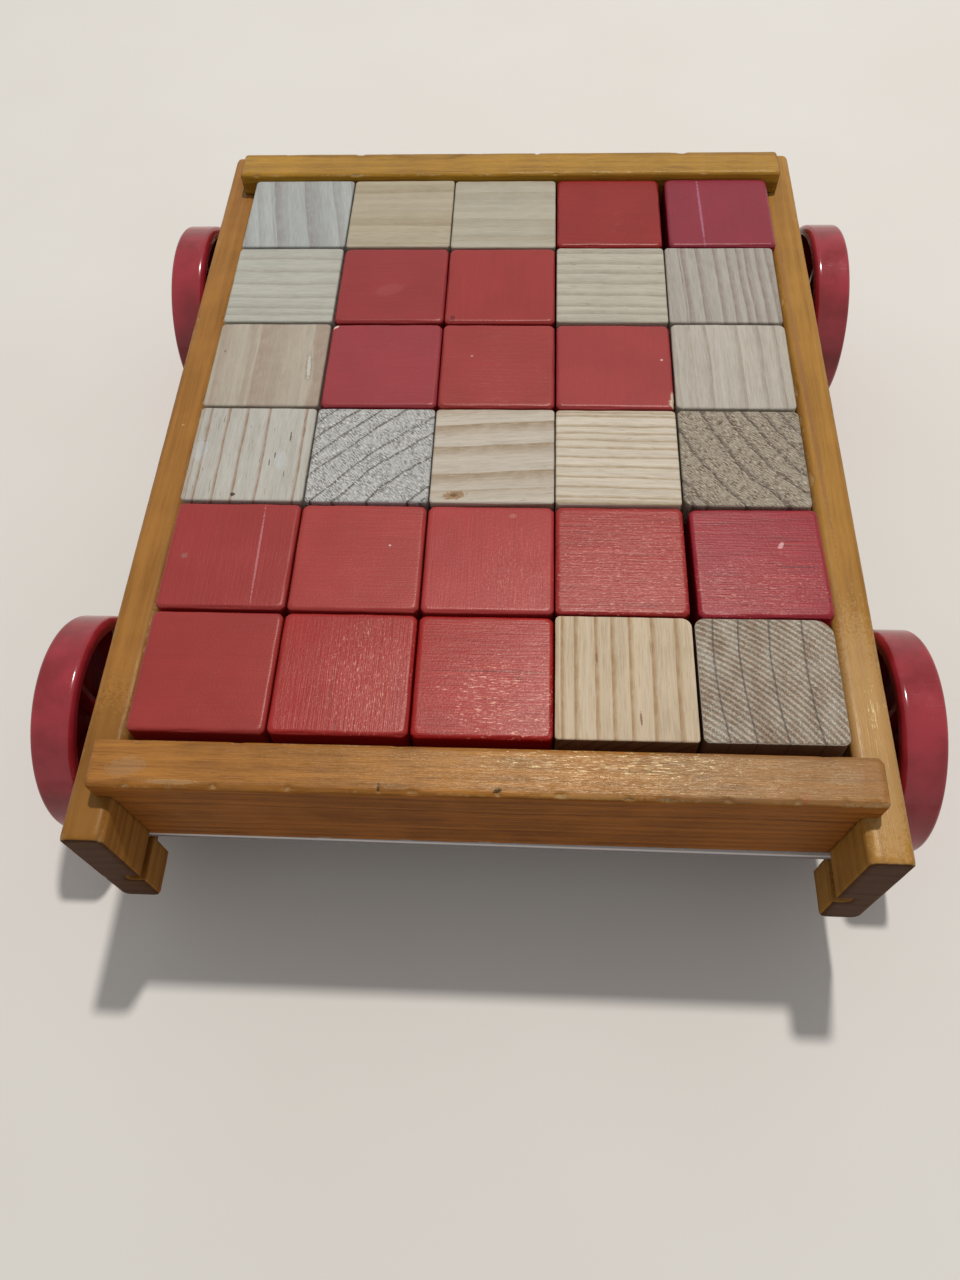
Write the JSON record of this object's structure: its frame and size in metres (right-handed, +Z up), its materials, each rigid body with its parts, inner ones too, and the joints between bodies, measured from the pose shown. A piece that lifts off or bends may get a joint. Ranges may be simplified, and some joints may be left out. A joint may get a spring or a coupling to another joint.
{
  "type": "toy block wagon",
  "caption": "Low four-wheeled wooden toy wagon: a shallow pine tray on red plastic wheels, packed with loose red and natural wooden building cubes.",
  "frame": {"origin": "centre of the bounding box in plan, on the ground under the wheels", "axes": "+Z up, +Y along the rails from the front board to the rear board, +X to the right"},
  "size_m": [0.2866, 0.3, 0.0915],
  "materials": {
    "varnished_pine_rail": "satin varnish, worn",
    "varnished_pine_board": "satin varnish, edges worn",
    "hardboard": "pale lacquer",
    "screw_steel": "zinc plated",
    "nail_steel": "plain",
    "bright_steel": "bright drawn",
    "red_plastic": "glossy moulded",
    "red_paint": "satin red paint over wood grain",
    "bare_wood": "sanded, unvarnished"
  },
  "bodies": {
    "tray": {"board_screws": "screw_steel", "floor_panel": "hardboard", "front_axle": "bright_steel", "front_board": "varnished_pine_board", "front_left_cap": "bright_steel", "front_left_washer": "bright_steel", "front_right_cap": "bright_steel", "front_right_washer": "bright_steel", "left_rail": "varnished_pine_rail", "panel_nails": "nail_steel", "rear_axle": "bright_steel", "rear_board": "varnished_pine_board", "rear_left_cap": "bright_steel", "rear_left_washer": "bright_steel", "rear_right_cap": "bright_steel", "rear_right_washer": "bright_steel", "right_rail": "varnished_pine_rail"},
    "front_left_wheel": {"front_left_wheel": "red_plastic"},
    "front_right_wheel": {"front_right_wheel": "red_plastic"},
    "rear_left_wheel": {"rear_left_wheel": "red_plastic"},
    "rear_right_wheel": {"rear_right_wheel": "red_plastic"},
    "natural_block_r1c1": {"natural_block_r1c1": "bare_wood"},
    "natural_block_r1c2": {"natural_block_r1c2": "bare_wood"},
    "natural_block_r1c3": {"natural_block_r1c3": "bare_wood"},
    "natural_block_r2c1": {"natural_block_r2c1": "bare_wood"},
    "natural_block_r2c4": {"natural_block_r2c4": "bare_wood"},
    "natural_block_r2c5": {"natural_block_r2c5": "bare_wood"},
    "natural_block_r3c1": {"natural_block_r3c1": "bare_wood"},
    "natural_block_r3c5": {"natural_block_r3c5": "bare_wood"},
    "natural_block_r4c1": {"natural_block_r4c1": "bare_wood"},
    "natural_block_r4c2": {"natural_block_r4c2": "bare_wood"},
    "natural_block_r4c3": {"natural_block_r4c3": "bare_wood"},
    "natural_block_r4c4": {"natural_block_r4c4": "bare_wood"},
    "natural_block_r4c5": {"natural_block_r4c5": "bare_wood"},
    "natural_block_r6c4": {"natural_block_r6c4": "bare_wood"},
    "natural_block_r6c5": {"natural_block_r6c5": "bare_wood"},
    "red_block_r1c4": {"red_block_r1c4": "red_paint"},
    "red_block_r1c5": {"red_block_r1c5": "red_paint"},
    "red_block_r2c2": {"red_block_r2c2": "red_paint"},
    "red_block_r2c3": {"red_block_r2c3": "red_paint"},
    "red_block_r3c2": {"red_block_r3c2": "red_paint"},
    "red_block_r3c3": {"red_block_r3c3": "red_paint"},
    "red_block_r3c4": {"red_block_r3c4": "red_paint"},
    "red_block_r5c1": {"red_block_r5c1": "red_paint"},
    "red_block_r5c2": {"red_block_r5c2": "red_paint"},
    "red_block_r5c3": {"red_block_r5c3": "red_paint"},
    "red_block_r5c4": {"red_block_r5c4": "red_paint"},
    "red_block_r5c5": {"red_block_r5c5": "red_paint"},
    "red_block_r6c1": {"red_block_r6c1": "red_paint"},
    "red_block_r6c2": {"red_block_r6c2": "red_paint"},
    "red_block_r6c3": {"red_block_r6c3": "red_paint"}
  },
  "joints": [
    {"name": "front_left_wheel_spin", "type": "hinge", "parent": "tray", "child": "front_left_wheel", "pos_m": [-0.1294, -0.093, 0.03625], "axis": [1, 0, 0], "continuous": true},
    {"name": "front_right_wheel_spin", "type": "hinge", "parent": "tray", "child": "front_right_wheel", "pos_m": [0.1294, -0.093, 0.03625], "axis": [1, 0, 0], "continuous": true},
    {"name": "rear_left_wheel_spin", "type": "hinge", "parent": "tray", "child": "rear_left_wheel", "pos_m": [-0.1294, 0.106, 0.03625], "axis": [1, 0, 0], "continuous": true},
    {"name": "rear_right_wheel_spin", "type": "hinge", "parent": "tray", "child": "rear_right_wheel", "pos_m": [0.1294, 0.106, 0.03625], "axis": [1, 0, 0], "continuous": true},
    {"name": "natural_block_r1c1_lift", "type": "slide", "parent": "tray", "child": "natural_block_r1c1", "axis": [0, 0, 1], "range_m": [0, 0.06]},
    {"name": "natural_block_r1c2_lift", "type": "slide", "parent": "tray", "child": "natural_block_r1c2", "axis": [0, 0, 1], "range_m": [0, 0.06]},
    {"name": "natural_block_r1c3_lift", "type": "slide", "parent": "tray", "child": "natural_block_r1c3", "axis": [0, 0, 1], "range_m": [0, 0.06]},
    {"name": "natural_block_r2c1_lift", "type": "slide", "parent": "tray", "child": "natural_block_r2c1", "axis": [0, 0, 1], "range_m": [0, 0.06]},
    {"name": "natural_block_r2c4_lift", "type": "slide", "parent": "tray", "child": "natural_block_r2c4", "axis": [0, 0, 1], "range_m": [0, 0.06]},
    {"name": "natural_block_r2c5_lift", "type": "slide", "parent": "tray", "child": "natural_block_r2c5", "axis": [0, 0, 1], "range_m": [0, 0.06]},
    {"name": "natural_block_r3c1_lift", "type": "slide", "parent": "tray", "child": "natural_block_r3c1", "axis": [0, 0, 1], "range_m": [0, 0.06]},
    {"name": "natural_block_r3c5_lift", "type": "slide", "parent": "tray", "child": "natural_block_r3c5", "axis": [0, 0, 1], "range_m": [0, 0.06]},
    {"name": "natural_block_r4c1_lift", "type": "slide", "parent": "tray", "child": "natural_block_r4c1", "axis": [0, 0, 1], "range_m": [0, 0.06]},
    {"name": "natural_block_r4c2_lift", "type": "slide", "parent": "tray", "child": "natural_block_r4c2", "axis": [0, 0, 1], "range_m": [0, 0.06]},
    {"name": "natural_block_r4c3_lift", "type": "slide", "parent": "tray", "child": "natural_block_r4c3", "axis": [0, 0, 1], "range_m": [0, 0.06]},
    {"name": "natural_block_r4c4_lift", "type": "slide", "parent": "tray", "child": "natural_block_r4c4", "axis": [0, 0, 1], "range_m": [0, 0.06]},
    {"name": "natural_block_r4c5_lift", "type": "slide", "parent": "tray", "child": "natural_block_r4c5", "axis": [0, 0, 1], "range_m": [0, 0.06]},
    {"name": "natural_block_r6c4_lift", "type": "slide", "parent": "tray", "child": "natural_block_r6c4", "axis": [0, 0, 1], "range_m": [0, 0.06]},
    {"name": "natural_block_r6c5_lift", "type": "slide", "parent": "tray", "child": "natural_block_r6c5", "axis": [0, 0, 1], "range_m": [0, 0.06]},
    {"name": "red_block_r1c4_lift", "type": "slide", "parent": "tray", "child": "red_block_r1c4", "axis": [0, 0, 1], "range_m": [0, 0.06]},
    {"name": "red_block_r1c5_lift", "type": "slide", "parent": "tray", "child": "red_block_r1c5", "axis": [0, 0, 1], "range_m": [0, 0.06]},
    {"name": "red_block_r2c2_lift", "type": "slide", "parent": "tray", "child": "red_block_r2c2", "axis": [0, 0, 1], "range_m": [0, 0.06]},
    {"name": "red_block_r2c3_lift", "type": "slide", "parent": "tray", "child": "red_block_r2c3", "axis": [0, 0, 1], "range_m": [0, 0.06]},
    {"name": "red_block_r3c2_lift", "type": "slide", "parent": "tray", "child": "red_block_r3c2", "axis": [0, 0, 1], "range_m": [0, 0.06]},
    {"name": "red_block_r3c3_lift", "type": "slide", "parent": "tray", "child": "red_block_r3c3", "axis": [0, 0, 1], "range_m": [0, 0.06]},
    {"name": "red_block_r3c4_lift", "type": "slide", "parent": "tray", "child": "red_block_r3c4", "axis": [0, 0, 1], "range_m": [0, 0.06]},
    {"name": "red_block_r5c1_lift", "type": "slide", "parent": "tray", "child": "red_block_r5c1", "axis": [0, 0, 1], "range_m": [0, 0.06]},
    {"name": "red_block_r5c2_lift", "type": "slide", "parent": "tray", "child": "red_block_r5c2", "axis": [0, 0, 1], "range_m": [0, 0.06]},
    {"name": "red_block_r5c3_lift", "type": "slide", "parent": "tray", "child": "red_block_r5c3", "axis": [0, 0, 1], "range_m": [0, 0.06]},
    {"name": "red_block_r5c4_lift", "type": "slide", "parent": "tray", "child": "red_block_r5c4", "axis": [0, 0, 1], "range_m": [0, 0.06]},
    {"name": "red_block_r5c5_lift", "type": "slide", "parent": "tray", "child": "red_block_r5c5", "axis": [0, 0, 1], "range_m": [0, 0.06]},
    {"name": "red_block_r6c1_lift", "type": "slide", "parent": "tray", "child": "red_block_r6c1", "axis": [0, 0, 1], "range_m": [0, 0.06]},
    {"name": "red_block_r6c2_lift", "type": "slide", "parent": "tray", "child": "red_block_r6c2", "axis": [0, 0, 1], "range_m": [0, 0.06]},
    {"name": "red_block_r6c3_lift", "type": "slide", "parent": "tray", "child": "red_block_r6c3", "axis": [0, 0, 1], "range_m": [0, 0.06]}
  ]
}
